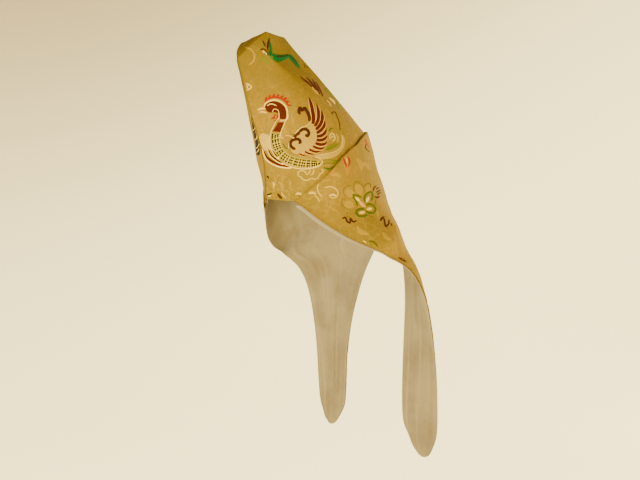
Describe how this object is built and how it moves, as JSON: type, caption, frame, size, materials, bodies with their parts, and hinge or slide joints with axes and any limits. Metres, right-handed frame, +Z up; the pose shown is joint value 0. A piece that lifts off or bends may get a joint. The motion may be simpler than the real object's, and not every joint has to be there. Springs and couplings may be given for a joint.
{
  "type": "buddhist priest hat",
  "caption": "Tall hollow brocade hood of a Buddhist priest: ridged crown with a folded peak, side wings joined behind the head and running down into tails, lined with silk.",
  "frame": {"origin": "where the top of the wearer's head sits inside the crown, on the hat's middle plane", "axes": "+Z up along the tall crown, -Y the way the wearer looks, +X the wearer's left"},
  "size_m": [0.3356, 0.3661, 0.7594],
  "materials": {
    "gold_brocade": "satin",
    "silk_lining": "satin"
  },
  "bodies": {
    "root": {"crown": "gold_brocade", "wing_left": "gold_brocade", "wing_right": "gold_brocade", "crown_lining": "silk_lining", "wing_lining_left": "silk_lining", "wing_lining_right": "silk_lining"}
  },
  "joints": []
}
